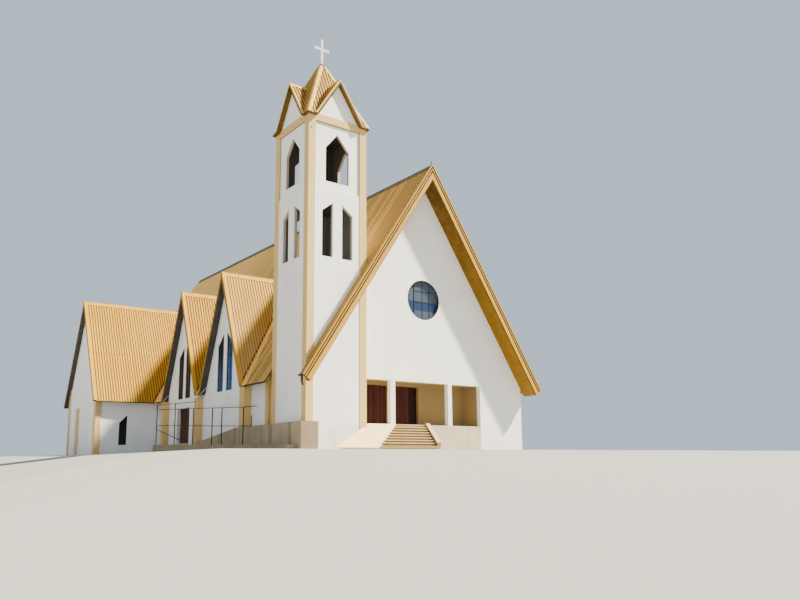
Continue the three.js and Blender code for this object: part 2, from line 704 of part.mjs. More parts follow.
function entranceRamp() {
  const plan = [[-3960, -GAP], [-7560, -2400], [-4861, -2400], [-2111, -GAP]];
  const under = sideways([[-2400, BASE_Z], [0, BASE_Z], [0, 0], [-2400, BASE_Z + 60]], -9000, 0);
  return cut(upright(plan, BASE_Z, 100).intersect(under), towerRoom);
}
add("entrance_ramp", entranceRamp(), "concrete");

// Plinth and walkway edge along the tower and the left side, with a kerb that carries the railing
const PLINTH_X = -8500;
const KERB_X = -9000;
const RAIL_X = -8860;
const kerbTop = (y) => -1180 + (460 * (y + 230)) / 19630;
function sideTerrace() {
  const plinthSide = [[-230, BASE_Z], [12430, BASE_Z], [12430, -700], [7000, -30], [-230, 0]];
  const wall = sideways(plinthSide, PLINTH_X, -NAVE_X - GAP);
  const front = box(PLINTH_X, -7500, TOWER_FRONT_Y - 230, -GAP, BASE_Z, 0);
  const underKerb = (y0, y1) => [[y0, BASE_Z], [y1, BASE_Z], [y1, kerbTop(y1)], [y0, kerbTop(y0)]];
  const kerb = sideways(underKerb(-230, 19400), KERB_X, PLINTH_X + 10);
  const lower = sideways(underKerb(12000, 19400), KERB_X, -8270);
  return cut(
    join(wall, front, kerb, lower),
    towerRoom,
    box(-AISLE_X - 60 - GAP, -7000, 6290 - GAP, 19000, -2000, 1000),
    box(-AISLE_X - 400 - GAP, -8000, 12440 - GAP, 12900 + GAP, -2000, 1000),
    box(-AISLE_X - 400 - GAP, -8000, 18440 - GAP, 18900 + GAP, -2000, 1000),
  );
}
add("side_terrace", sideTerrace(), "concrete");

function sideRailing() {
  const posts = [5200, 8100, 9500, 12500, 15700, 19200].map((y) => {
    const top = 1050 + 0.05 * (y - 5200);
    return box(RAIL_X - 25, RAIL_X + 25, y - 25, y + 25, kerbTop(y) + 0.95, top);
  });
  const rail = (z0, z1) => {
    const side = [[5200, z0 - 20], [19200, z1 - 20], [19200, z1 + 20], [5200, z0 + 20]];
    return sideways(side, RAIL_X - 20, RAIL_X + 20);
  };
  return join(...posts, rail(1040, 1740), rail(-20, 620));
}
add("side_railing", sideRailing(), "rail");

export default part;
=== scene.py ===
# A modern church: a steep tan metal roof over a rendered nave, a square bell tower with a cross,
# sharp cross gables and transepts along the sides, and an open porch with steps before the doors.
# Lengths are in metres. A sign of -1 means the left half of the building and 1 the right half, and a way
# of -1 or 1 means one side or the other of a middle line or ridge.
import math

import bpy
from mathutils import Matrix, Vector


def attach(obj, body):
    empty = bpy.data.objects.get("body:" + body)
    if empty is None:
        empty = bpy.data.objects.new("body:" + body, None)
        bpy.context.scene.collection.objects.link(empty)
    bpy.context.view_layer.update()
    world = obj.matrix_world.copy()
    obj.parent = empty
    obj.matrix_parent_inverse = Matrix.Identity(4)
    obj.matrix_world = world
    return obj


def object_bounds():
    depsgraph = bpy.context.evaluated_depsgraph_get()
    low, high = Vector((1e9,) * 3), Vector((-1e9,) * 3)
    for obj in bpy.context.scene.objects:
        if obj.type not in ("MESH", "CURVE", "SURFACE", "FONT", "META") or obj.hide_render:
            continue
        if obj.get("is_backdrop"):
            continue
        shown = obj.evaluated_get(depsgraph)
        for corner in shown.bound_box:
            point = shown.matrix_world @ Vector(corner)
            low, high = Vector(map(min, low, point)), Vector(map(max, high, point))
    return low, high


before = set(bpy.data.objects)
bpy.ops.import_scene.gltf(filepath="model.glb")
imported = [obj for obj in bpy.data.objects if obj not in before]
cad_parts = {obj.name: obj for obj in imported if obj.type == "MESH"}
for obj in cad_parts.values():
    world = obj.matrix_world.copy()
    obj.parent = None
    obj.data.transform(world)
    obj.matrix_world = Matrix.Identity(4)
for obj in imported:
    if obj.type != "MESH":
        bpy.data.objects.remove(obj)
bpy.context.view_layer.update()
bpy.ops.object.select_all(action="DESELECT")
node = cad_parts


# Rendered walls: blockwork with a smooth cement render, painted warm white.
# The paint has weathered to a soft mottle, with grey wash in faint runs and near the ground.
class Finish:
    """A number, colour or direction that varies over a surface, written as a formula."""

    def __init__(self, socket):
        self.socket = socket

    def made(self, kind, settings, inputs, out=0):
        """A node of any kind: its settings first, then the values or links of its sockets."""
        tree = self.socket.id_data
        added = tree.nodes.new(kind)
        for key, setting in settings.items():
            setattr(added, key, setting)
        for key, value in inputs.items():
            if isinstance(value, Finish):
                tree.links.new(value.socket, added.inputs[key])
            else:
                added.inputs[key].default_value = value
        return Finish(added.outputs[out])

    def math(self, operation, *others):
        terms = dict(enumerate((self, *others)))
        return self.made("ShaderNodeMath", {"operation": operation}, terms)

    def __add__(self, other):
        return self.math("ADD", other)

    def __sub__(self, other):
        return self.math("SUBTRACT", other)

    def __rsub__(self, other):
        return self.math("MULTIPLY_ADD", -1, other)

    def __mul__(self, other):
        return self.math("MULTIPLY", other)

    def __truediv__(self, other):
        return self.math("DIVIDE", other)

    def __abs__(self):
        return self.math("ABSOLUTE")

    __radd__, __rmul__ = __add__, __mul__

    def over(self, limit):
        return self.math("GREATER_THAN", limit)

    def under(self, limit):
        return self.math("LESS_THAN", limit)

    def held(self):
        """The same number, kept from 0 to 1."""
        return self.made("ShaderNodeClamp", {}, {0: self})

    def between(self, low, high):
        """Rises from 0 at the low end to 1 at the high end."""
        return ((self - low) / (high - low)).held()

    def apart(self):
        """The three parts of a place or a direction."""
        parts = self.made("ShaderNodeSeparateXYZ", {}, {0: self})
        return [Finish(part) for part in parts.socket.node.outputs]

    def noise(self, scale, detail=3.0, stretch=(1, 1, 1)):
        place = self.made("ShaderNodeMapping", {}, {"Vector": self, "Scale": stretch})
        return self.made("ShaderNodeTexNoise", {}, {"Vector": place, "Scale": scale, "Detail": detail})

    def drawn(self):
        """A number from 0 to 1 for each whole step, the same on every run."""
        step = self.math("FLOOR")
        return self.made("ShaderNodeTexWhiteNoise", {"noise_dimensions": "1D"}, {"W": step})

    def tint(self, under, over):
        """The first colour where this is 0, the second where it is 1."""
        return self.made("ShaderNodeMix", {"data_type": "RGBA"}, {0: self, 6: under, 7: over}, 2)


def surface(name, roughness, metallic=0.0, gloss=0.15):
    material = bpy.data.materials.new(name)
    material.use_nodes = True
    shader = material.node_tree.nodes["Principled BSDF"]
    shader.inputs["Roughness"].default_value = roughness
    shader.inputs["Metallic"].default_value = metallic
    shader.inputs["Specular IOR Level"].default_value = gloss
    coordinates = material.node_tree.nodes.new("ShaderNodeTexCoord")
    return material, shader, Finish(coordinates.outputs["Object"])


def feed(shader, **values):
    for key, value in values.items():
        shader.id_data.links.new(value.socket, shader.inputs[key.replace("_", " ")])


def grain(height, strength, distance):
    inputs = {"Height": height, "Strength": strength, "Distance": distance}
    return height.made("ShaderNodeBump", {}, inputs)


def paint(red, green, blue):
    """A colour as read off a paint card, from 0 to 255."""
    return (*(((c / 255 + 0.055) / 1.055) ** 2.4 for c in (red, green, blue)), 1.0)


def coated(material, *names):
    for name in names:
        node[name].data.materials[0] = material


WHITE_PAINT, WALL_GRIME = (253, 250, 245), (150, 142, 130)
TAN_PAINT, POST_GRIME = (222, 188, 124), (140, 108, 60)
TOWER, BELFRY_LEVEL = Vector((-6.245, -14.5, 0)), 13.9


def painted_render(name, coat, wash, trim=None, inside=None):
    """Trim gives where a wall is painted as a post, inside gives where painted shade darkens its reveals and
    its inner side.
    """
    material, shader, place = surface(name, 0.85)
    x, y, z = place.apart()
    mottle = place.noise(0.6, 4.0).between(0.4, 0.75)
    runs = place.noise(2.6, 4.0, (1, 1, 0.05)).between(0.55, 0.8)
    low = (1 - z.between(0.1, 1.9)) * place.noise(1.5, 5.0).between(0.25, 0.7)
    stain = (mottle * 0.09 + runs * 0.08 + low * 0.26).held()
    colour = paint(*coat)
    if trim is not None:
        colour = trim(x, y, z).held().tint(colour, paint(*TAN_PAINT))
    colour = stain.tint(colour, paint(*wash))
    if inside is not None:
        # Painted shade: the reveals darken toward the inside, and the inside of the tower is dark, darkest
        # below the belfry.
        reveal, inner_shade = inside(x, y)
        shaft_shade = z.under(BELFRY_LEVEL).tint(paint(96, 90, 80), paint(134, 132, 128))
        colour = inner_shade.tint((reveal * 0.75).tint(colour, paint(140, 126, 100)), shaft_shade)
    trowel = place.noise(5.0, 2.0) + place.noise(60.0, 2.0) * 0.35
    feed(shader, Base_Color=colour, Normal=grain(trowel, 0.3, 0.012))
    return material


def within_tower(x, y):
    """How far a place is behind the tower's faces, for the painted shade there: in the reveal of an opening,
    and in the shaft.
    """
    wall_face, reveal, inner_face = 1.793, 1.76, 1.629
    across = abs(x - TOWER.x).math("MAXIMUM", abs(y - TOWER.y))
    return 1 - across.between(reveal, wall_face), across.under(inner_face)


white_render = painted_render("white_render", WHITE_PAINT, WALL_GRIME)
coated(white_render, *(name for name in node if "wall" in name))
tower_render = painted_render("tower_render", WHITE_PAINT, WALL_GRIME, inside=within_tower)
coated(tower_render, *(name for name in node if "tower" in name and "wall" in name))

# Tan posts, piers and bands: concrete members with the same render, painted tan.
# They are the tower's corners and band, the side piers, and the corner posts of the transepts.
tan_render = painted_render("tan_render", TAN_PAINT, POST_GRIME)
coated(tan_render, "pier_tower", "pier_front", "pier_middle", "pier_rear")
tower_tan = painted_render("tower_tan", TAN_PAINT, POST_GRIME, inside=within_tower)
coated(tower_tan, "tower_frame")


def transept_posts(x, y, z):
    """The posts stand a little ahead of the gable walls and of the front wall."""
    gable_face, front_face, post_edge = 12.515, 5.17, 12.16
    return abs(x).over(gable_face) + y.under(front_face) * abs(x).over(post_edge)


def right_piers(x, y, z):
    wall_face = 8.265
    return x.over(wall_face)


# The transept walls take a whiter coat and a paler wash than the others, as painted light that brightens
# their shaded fronts.
transept_render = painted_render("transept_render", (255, 253, 250), (206, 198, 186), transept_posts)
coated(transept_render, "transept_left", "transept_right")
right_render = painted_render("right_wall_render", WHITE_PAINT, WALL_GRIME, right_piers)
coated(right_render, "right_wall")

# Porch: the walls round it are rendered like the others, and painted in a deeper cream.
# Its ceiling is a cast slab in tan paint, which drops to a lintel over the doors.
porch_cream = painted_render("porch_cream", (152, 128, 86), (112, 88, 54))
coated(porch_cream, "porch_wall_left", "porch_wall_middle", "porch_wall_right")
coated(painted_render("porch_tan", (152, 132, 88), (112, 92, 54)), "porch_ceiling")


# Roof slabs: rafters and boarding below long painted steel sheets, with painted boards underneath.
# The sheets lap at mid slope, and the pans between their ribs are painted darker than the crests, as painted
# shade.
RIB_PITCH, SIDE_EAVE, LOW_LAP, HIGH_LAP = 0.185, 3.73, 7.35, 12.6
EDGE_BROWN = (64, 44, 20)
DARK_BOARDS = (84, 79, 75), (64, 60, 57)
OCHRE_BOARDS = (120, 90, 24), (92, 66, 16)


def facing(place):
    """Which way a surface looks: to the right, to the back and upward, each from -1 to 1."""
    return Finish(place.socket.node.outputs["Normal"]).apart()


def sheet_steel(name, coat, stain_and_ramp_colour, boards=DARK_BOARDS, across=0, ramp_weight=0.0, rim=-0.08):
    """Sheets lie side by side along the axis across: 1 on the main roof, which darkens toward its front end.
    Rim is how steep a face may stand before it counts as the side of the slab, which is dark brown; on the
    tower roof this paints the steep verge faces dark, as painted shade."""
    material, shader, place = surface(name, 0.7)
    _, y, z = place.apart()
    tone = (place.apart()[across] / RIB_PITCH).drawn()
    # The main roof darkens toward its front end; on the front cross gable the sheets turn paler low on the
    # slope, as painted light in the shadow cast there.
    ramp_share = 1 - (y.between(-16.0, 6.0) if across else z.between(5.0, 8.5))
    wear = 0.35 + ramp_share if across else 1.0
    patch = place.noise(0.35, 4.0).between(0.38, 0.72)
    runs = place.noise(1.8, 4.0, (1, 1, 0.22)).between(0.45, 0.8)
    laps = abs(z - LOW_LAP).under(0.03) + abs(z - HIGH_LAP).under(0.03)
    stain = (patch * 0.3 + runs * 0.3 + tone * 0.25) * wear
    newer = tone.under(0.2) * 0.4
    stain_and_ramp = (stain + laps * 0.7 + ramp_share * ramp_weight).held() * (1 - newer)
    upward = facing(place)[2]
    edge = z.under(SIDE_EAVE + 0.005).math("MAXIMUM", upward.under(rim))
    sheet = edge.tint(stain_and_ramp.tint(paint(*coat), paint(*stain_and_ramp_colour)), paint(*EDGE_BROWN))
    planks = place.noise(3.0, 4.0).tint(*(paint(*board) for board in boards))
    feed(
        shader,
        Base_Color=upward.under(-0.08).tint(sheet, planks),
        Roughness=0.62 + patch * 0.2,
        Normal=grain(place.noise(4.0, 2.0), 0.10, 0.02),
    )
    return material


# The main roof's steel is painted much paler than the gables', as painted light for its left slope, which
# lies in shade; its pans also carry painted shade.
main_pans_light_and_shade = sheet_steel("main_pans_light_and_shade", (255, 186, 92), (116, 88, 42), across=1, ramp_weight=0.95)
main_crests_light = sheet_steel("main_crests_light", (255, 222, 132), (200, 158, 80), across=1, ramp_weight=0.75)
gable_pans_shade = sheet_steel("gable_pans_shade", (134, 97, 38), (110, 78, 28))
gable_crests = sheet_steel("gable_crests", (212, 158, 34), (178, 127, 26))
tower_pans_shade = sheet_steel("tower_pans_shade", (100, 72, 30), (82, 56, 22), OCHRE_BOARDS, rim=0.2)
tower_crests = sheet_steel("tower_crests", (194, 150, 68), (160, 118, 46), OCHRE_BOARDS)
# The front cross gable's second colours are paler, and paint the low part of its slopes as painted light in
# the cast shadow there.
front_pans_light_and_shade = sheet_steel("front_pans_light_and_shade", (138, 104, 48), (160, 134, 88), ramp_weight=0.55)
front_crests_light = sheet_steel("front_crests_light", (208, 155, 38), (200, 164, 92), ramp_weight=0.4)
coated(gable_pans_shade, *(name for name in node if "roof" in name))
coated(front_pans_light_and_shade, "gable_roof_front_left", "gable_roof_front_right")
coated(main_pans_light_and_shade, "main_roof_left", "main_roof_right")
coated(tower_pans_shade, "tower_roof")


# Sheet ribs: trapezoid folds that stiffen the roof sheets, in one line from the ridge to the eave.
# They are rolled into the steel; here each is a bar on the sheet, cut to the outline of its slope.
def only(*pieces):
    """Selects these pieces alone, with the first one active."""
    bpy.ops.object.select_all(action="DESELECT")
    for piece in pieces:
        piece.select_set(True)
    bpy.context.view_layer.objects.active = pieces[0]


def named(name, piece):
    piece.name = piece.data.name = name
    return piece


def bar(name, start, end, width, height, up=(0, 0, 1), narrow=1.0):
    """Squared stock laid from one point to another about its centre line, narrower on its upper face."""
    a, b = Vector(start), Vector(end)
    along = (b - a).normalized()
    side = Vector(up).cross(along).normalized()
    turn = Matrix((along, side, along.cross(side))).transposed()
    bpy.ops.mesh.primitive_cube_add(size=1, scale=((b - a).length, width, height))
    piece = named(name, bpy.context.object)
    bpy.ops.object.transform_apply()
    if narrow < 1.0:
        for polygon in piece.data.polygons:
            polygon.select = polygon.normal.z > 0.9
        for vertex in piece.data.vertices:
            vertex.select = vertex.co.z > 0
        bpy.ops.object.mode_set(mode="EDIT")
        bpy.ops.transform.resize(value=(1, narrow, 1))
        bpy.ops.object.mode_set(mode="OBJECT")
    piece.matrix_world = Matrix.Translation((a + b) / 2) @ turn.to_4x4()
    bpy.ops.object.transform_apply()
    return piece


def shaped(piece, kind, **settings):
    only(piece)
    made = piece.modifiers.new(kind, kind)
    for key, setting in settings.items():
        setattr(made, key, setting)
    bpy.ops.object.modifier_apply(modifier=made.name)
    return piece


def joined(name, pieces):
    only(*pieces)
    bpy.ops.object.join()
    return named(name, pieces[0])


def fixed(piece, material, body="church"):
    """Finishes a piece: its material and the body that it moves with."""
    piece.data.materials.clear()
    piece.data.materials.append(material)
    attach(piece, body)


def trimmed(piece, slab, rise):
    """Keeps what lies in a copy of a roof slab moved by rise, so that a piece ends as the slab does."""
    room = bpy.data.objects.new("room", node[slab].data.copy())
    bpy.context.collection.objects.link(room)
    only(room)
    bpy.ops.object.mode_set(mode="EDIT")
    bpy.ops.mesh.select_all(action="SELECT")
    bpy.ops.mesh.remove_doubles(threshold=0.0001)
    bpy.ops.transform.translate(value=rise)
    bpy.ops.object.mode_set(mode="OBJECT")
    shaped(piece, "BOOLEAN", operation="INTERSECT", object=room, solver="EXACT")
    bpy.data.objects.remove(room)
    return piece


def ribs(slab, top, foot, face, step, count, width=0.128, height=0.036):
    """Equal ribs, each a step from the last; their feet sink 4 mm into the sheet."""
    face = Vector(face).normalized()
    lift = face * (height / 2 - 0.004)
    rib = bar("rib", Vector(top) + lift, Vector(foot) + lift, width, height, face, narrow=0.7)
    offset = {"use_relative_offset": False, "use_constant_offset": True}
    shaped(rib, "ARRAY", constant_offset_displace=step, count=count, **offset)
    return trimmed(rib, slab, face * 0.06)


MAIN_RIDGE, MAIN_FALL = 16.79, 1.51856
FIRST_RIB, BELOW_RIDGE, PAST_EAVE = -16.80, 0.205, 8.75
SIDES = ("left", -1), ("right", 1)


def main_face(sign):
    return Vector((sign * MAIN_FALL, 0, 1)).normalized()


def side_face(way, fall):
    return Vector((0, way * fall, 1)).normalized()


for side, sign in SIDES:
    reaches = (BELOW_RIDGE, PAST_EAVE)
    top, foot = ((sign * out, FIRST_RIB, MAIN_RIDGE - out * MAIN_FALL) for out in reaches)
    slab, step = "main_roof_" + side, (0, RIB_PITCH, 0)
    made = ribs(slab, top, foot, main_face(sign), step, count=191, width=0.09, height=0.028)
    fixed(named("main_roof_ribs_" + side, made), main_crests_light)

# Ribs of the cross gables and transepts: the same sheets in shorter lengths, on both sides of each ridge.
# Each roof has a middle line, half a width, a ridge height and a verge, and falls to the same eave.
SIDE_ROOFS = {
    name: (middle, half, ridge, verge, (ridge - SIDE_EAVE) / half)
    for name, middle, half, ridge, verge in (
        ("gable_roof_front", -6.725, 3.10, 11.05, 8.67),
        ("gable_roof_rear", -0.005, 3.10, 11.05, 8.67),
        ("transept_roof", 8.865, 4.18, 11.44, 12.84),
    )
}
for name, (middle, half, ridge, verge, fall) in SIDE_ROOFS.items():
    crests = front_crests_light if "front" in name else gable_crests
    for side, sign in SIDES:
        first, last = sign * (verge - 0.20), sign * 2.90
        step, count = (-sign * RIB_PITCH, 0, 0), int(abs(first - last) / RIB_PITCH)
        slopes = []
        for way in (-1, 1):
            top, foot = ((first, middle + way * out, ridge - out * fall) for out in (0.07, half + 0.1))
            slopes.append(ribs(f"{name}_{side}", top, foot, side_face(way, fall), step, count))
        fixed(joined(f"{name}_ribs_{side}", slopes), crests)

# Ribs of the tower roof: the same sheets in short lengths on the four hips and the eight small slopes.
# Each quarter is worked out as the front one, about the middle of the tower, and then turned.
TOWER_TIP, TOWER_EAVE, TOWER_EAVE_HALF, TOWER_PITCH = 22.46, 18.05, 2.02, 0.205
SMALL_RIDGE, SMALL_HALF, SMALL_VERGE = 20.425, 1.52, 2.09
small_fall = (SMALL_RIDGE - TOWER_EAVE) / SMALL_HALF
tip_fall = (TOWER_TIP - TOWER_EAVE) / TOWER_EAVE_HALF
quarters = [Matrix.Rotation(math.pi / 2 * quarter, 3, "Z") for quarter in range(4)]
slopes = []
for turn in quarters:
    top, foot = (TOWER + turn @ Vector((-1.95, -out, TOWER_TIP - out * tip_fall)) for out in (0.30, 2.1))
    face, step = turn @ Vector((0, -tip_fall, 1)), turn @ Vector((TOWER_PITCH, 0, 0))
    slopes.append(ribs("tower_roof", top, foot, face, step, count=20))
    for way in (-1, 1):
        top, foot = (
            TOWER + turn @ Vector((way * out, -2.02, SMALL_RIDGE - out * small_fall)) for out in (0.04, 1.6)
        )
        face, step = turn @ Vector((way * small_fall, 0, 1)), turn @ Vector((0, TOWER_PITCH, 0))
        slopes.append(ribs("tower_roof", top, foot, face, step, count=10))
fixed(joined("tower_roof_ribs", slopes), tower_crests)


# Cappings: folded strips of lighter gold steel over the ridges, the hips and the roof edges.
# They lie over the ribs, and the open pans under their edges show as dark strips of painted shade.
def gold_steel(name, coat, grime, shade=None):
    """Shade is a darker colour painted on the faces that look down, as painted shade, where it differs from
    the coat.
    """
    material, shader, place = surface(name, 0.65)
    streak = place.noise(2.2, 4.0, (1, 1, 0.35)).between(0.4, 0.8)
    speck = place.noise(14.0).between(0.55, 0.75)
    steel = (streak * 0.35 + speck * 0.15).held().tint(paint(*coat), paint(*grime))
    feed(
        shader,
        Base_Color=facing(place)[2].under(-0.2).tint(steel, paint(*(shade or coat))),
        Roughness=0.58 + streak * 0.2,
        Normal=grain(place.noise(9.0), 0.08, 0.01),
    )
    return material


light_gold = gold_steel("light_gold", (202, 152, 44), (168, 120, 34))
pale_gold = gold_steel("pale_gold", (222, 178, 82), (186, 142, 56))
gap_shade = gold_steel("gap_shade", (62, 42, 20), (40, 28, 14))
coated(gold_steel("ridge_olive", (100, 86, 52), (70, 60, 38)), "ridge_cap")


def folded(start, end, faces, near, far, thick, lift):
    """Strips along a ridge or hip, one on each slope, between two distances down the slope."""
    strips = []
    along = (Vector(end) - Vector(start)).normalized()
    for face in faces:
        face = Vector(face).normalized()
        down = face.cross(along).normalized()
        down *= -1 if down.z > 0 else 1
        shift = down * (near + far) / 2 + face * lift
        strips.append(bar("strip", Vector(start) + shift, Vector(end) + shift, far - near, thick, face))
    return strips


def crown(start, end):
    """The raised middle of a cap, along the ridge itself."""
    rise = Vector((0, 0, 0.05))
    return bar("crown", Vector(start) + rise, Vector(end) + rise, 0.06, 0.06)


CAP_LIFT, GAP_THICK = 0.040, 0.03
caps, gaps = [], []
for name, (middle, half, ridge, verge, fall) in SIDE_ROOFS.items():
    inner = (MAIN_RIDGE - ridge) / MAIN_FALL
    faces = [side_face(-1, fall), side_face(1, fall)]
    for sign in (-1, 1):
        start, end = (sign * verge, middle, ridge), (sign * inner, middle, ridge)
        caps += folded(start, end, faces, near=-0.01, far=0.25, thick=0.010, lift=CAP_LIFT)
        caps.append(crown(start, end))
        gaps += folded(start, end, faces, near=0.235, far=0.262, thick=GAP_THICK, lift=0.012)
        # The two halves of a verge lie 6 mm apart in depth, so that no faces coincide at its peak.
        for way, face in zip((-1, 1), faces):
            reach = sign * (verge - 0.073 - way * 0.003)
            low = Vector((reach, middle + way * (half - 0.01), SIDE_EAVE + 0.01 * fall))
            high = Vector((reach, middle - way * 0.012, ridge + 0.012 * fall))
            caps.append(bar("edge", low + face * 0.028, high + face * 0.028, 0.14, 0.06, face))
            for strips, depth, height in ((caps, 0.022, 0.06), (gaps, 0.078, 0.055), (caps, 0.124, 0.034)):
                outer = Vector((sign * 0.078, 0, 0)) - face * depth
                strips.append(bar("edge", low + outer, high + outer, 0.014, height, face))
start, end = (0, -16.90, MAIN_RIDGE), (0, 18.30, MAIN_RIDGE)
faces = [main_face(-1), main_face(1)]
gaps += folded(start, end, faces, near=0.39, far=0.42, thick=GAP_THICK, lift=0.010)
fixed(joined("side_roof_caps", caps), light_gold)

caps = []
for turn in quarters:
    hips = [turn @ Vector((0, -tip_fall, 1)), turn @ Vector((tip_fall, 0, 1))]
    top, foot = (TOWER + turn @ Vector((out, -out, TOWER_TIP - out * tip_fall)) for out in (0.17, 1.99))
    caps += folded(top, foot, hips, near=-0.01, far=0.17, thick=0.008, lift=CAP_LIFT)
    faces = [(turn @ Vector((way * small_fall, 0, 1))).normalized() for way in (-1, 1)]
    outer = TOWER + turn @ Vector((0, -SMALL_VERGE, SMALL_RIDGE))
    inner = TOWER + turn @ Vector((0, -(TOWER_TIP - SMALL_RIDGE) / tip_fall, SMALL_RIDGE))
    caps += folded(outer, inner, faces, near=-0.01, far=0.15, thick=0.008, lift=CAP_LIFT)
    caps.append(crown(outer, inner))
    behind_edge = outer + turn @ Vector((0, 0.12, 0))
    gaps += folded(behind_edge, inner, faces, near=0.135, far=0.16, thick=GAP_THICK, lift=0.010)
    for way, face in zip((-1, 1), faces):
        reach = 0.053 + way * 0.003 - SMALL_VERGE
        low = TOWER + turn @ Vector((way * (SMALL_HALF - 0.01), reach, TOWER_EAVE + 0.01 * small_fall))
        high = TOWER + turn @ Vector((-way * 0.02, reach, SMALL_RIDGE + 0.02 * small_fall))
        caps.append(bar("edge", low + face * 0.028, high + face * 0.028, 0.10, 0.055, face))
        down = turn @ Vector((0, -0.056, 0)) - face * 0.008
        caps.append(bar("edge", low + down, high + down, 0.012, 0.06, face))
fixed(joined("tower_roof_caps", caps), pale_gold)

# Valleys: smooth gold strips on the main roof where the cross gables run into it.
# The open ends of the gable ribs stop at a dark strip of painted shade beside them.
valley_gold = gold_steel("valley_gold", (255, 196, 104), (226, 160, 76))
VALLEY_EAVE, WIDE_VALLEY, SLIM_VALLEY = 8.60, 0.62, 0.24
for side, sign in SIDES:
    valleys = []
    face = main_face(sign)
    for name, (middle, half, ridge, _, fall) in SIDE_ROOFS.items():
        high = Vector((sign * (MAIN_RIDGE - ridge) / MAIN_FALL, middle, ridge))
        for way in (-1, 1):
            low = Vector((sign * VALLEY_EAVE, middle + way * half, SIDE_EAVE))
            width = WIDE_VALLEY if name == "gable_roof_front" and way < 0 else SLIM_VALLEY
            along = (low - high).normalized()
            past = low + (low - high) * 0.02
            out = face.cross(along)
            out *= -1 if out.y * way < 0 else 1
            shift = out * width / 2 + face * (0.040 + way * 0.003)
            strips = [bar("valley", high + shift, past + shift, width, 0.008, face)]
            shift = out * width + face * 0.052
            strips.append(bar("fold", high + shift, past + shift, 0.03, 0.02, face))
            valleys += [trimmed(strip, "main_roof_" + side, face * 0.08) for strip in strips]
            slope = side_face(way, fall)
            inward = slope.cross(along)
            inward *= -1 if inward.dot(out) > 0 else 1
            shift = slope * 0.014 + inward * 0.075
            gaps.append(bar("gap", high + shift, low + shift, 0.13, 0.036, slope))
    fixed(joined("valleys_" + side, valleys), valley_gold)
fixed(joined("pan_gap_shade", gaps), gap_shade)


# Boxed verges at both ends of the main roof: painted boards on a frame that carries on from the slabs.
# Three boards with deep grooves between them lie on the face, and ochre boards close it from below; the
# grooves and the ochre carry painted shade.
# A board is given by how far below the ridge line its foot and head lie, and how far it stands proud.
BOARDS = (0.07, -0.05, 0.02), (0.32, 0.22, 0.01), (0.90, 0.48, 0.0)
FACE_DEPTH = 0.93


def verge_boards(name):
    material, shader, place = surface(name, 0.5)
    x, _, z = place.apart()
    depth = MAIN_RIDGE - z - abs(x) * MAIN_FALL
    face = abs(facing(place)[1]).over(0.5) * depth.under(FACE_DEPTH)
    streak = place.noise(2.0, 4.0, (1, 1, 0.4)).between(0.4, 0.8) * 0.4
    # The ochre below is painted darker toward the ridge, as painted shade.
    shade = 1 - z.between(4.0, 15.0)
    ochre = shade.tint(paint(90, 66, 8), paint(138, 102, 12))
    # The grooves between the face boards are painted dark brown, as painted shade.
    first, second = (depth.over(above[0]) * depth.under(below[1]) for above, below in zip(BOARDS, BOARDS[1:]))
    colour = face.tint(ochre, (first + second).tint(paint(190, 140, 34), paint(70, 48, 18)))
    dusty = streak.tint(colour, paint(170, 120, 52))
    feed(shader, Base_Color=dusty, Normal=grain(place.noise(7.0), 0.08, 0.01))
    return material


coated(verge_boards("verge_paint"), "front_verge", "back_verge")


def saw(piece, at, normal):
    """Cuts off what lies beyond a plane."""
    only(piece)
    bpy.ops.object.mode_set(mode="EDIT")
    bpy.ops.mesh.select_all(action="SELECT")
    bpy.ops.mesh.bisect(plane_co=at, plane_no=normal, use_fill=True, clear_outer=True)
    bpy.ops.object.mode_set(mode="OBJECT")
    return piece


# Boards sink a little into the box; for each metre of drop, their feet move in and down by these shares.
BOARD_BACK, FOOT_OUT, FOOT_LEVEL, FOOT_IN, FOOT_DOWN = 0.03, 8.62, 3.70, 0.4593, 0.3025
for end, y, out, relief in (("front", -16.925, -1, 0.06), ("back", 18.325, 1, 0.02)):
    boards = []
    for foot_drop, head_drop, step in BOARDS:
        middle, proud = (foot_drop + head_drop) / 2, relief + step
        thick = (foot_drop - head_drop) / math.hypot(1, MAIN_FALL)
        centre = y + out * (proud - BOARD_BACK) / 2
        for sign in (-1, 1):
            ridge = Vector((0, centre, MAIN_RIDGE - middle))
            out_by, level = FOOT_OUT - FOOT_IN * middle, FOOT_LEVEL - FOOT_DOWN * middle
            foot = Vector((sign * out_by, centre, level))
            above = ridge + (ridge - foot) * 0.04
            board = bar("board", above, foot, proud + BOARD_BACK, thick, main_face(sign))
            boards.append(saw(board, (0, 0, 0), (-sign, 0, 0)))
    # The undersides of the boards are painted dark, as painted shade.
    board_gold_shaded = gold_steel(end + "_board_gold_shaded", (190, 146, 60), (156, 114, 44), shade=(80, 56, 20))
    fixed(joined(end + "_verge_boards", boards), board_gold_shaded)


# Soffits of the cross gables: purlins that cross the dark boards, seen under the overhanging verges.
# Small struts of pale steel hold the low corners of the verges to the wall.
def mottled(name, roughness, scale, one, other, metallic=0.0):
    """Wood or painted metal whose tone drifts between two colours."""
    material, shader, place = surface(name, roughness, metallic)
    feed(shader, Base_Color=place.noise(scale).tint(paint(*one), paint(*other)))
    return material


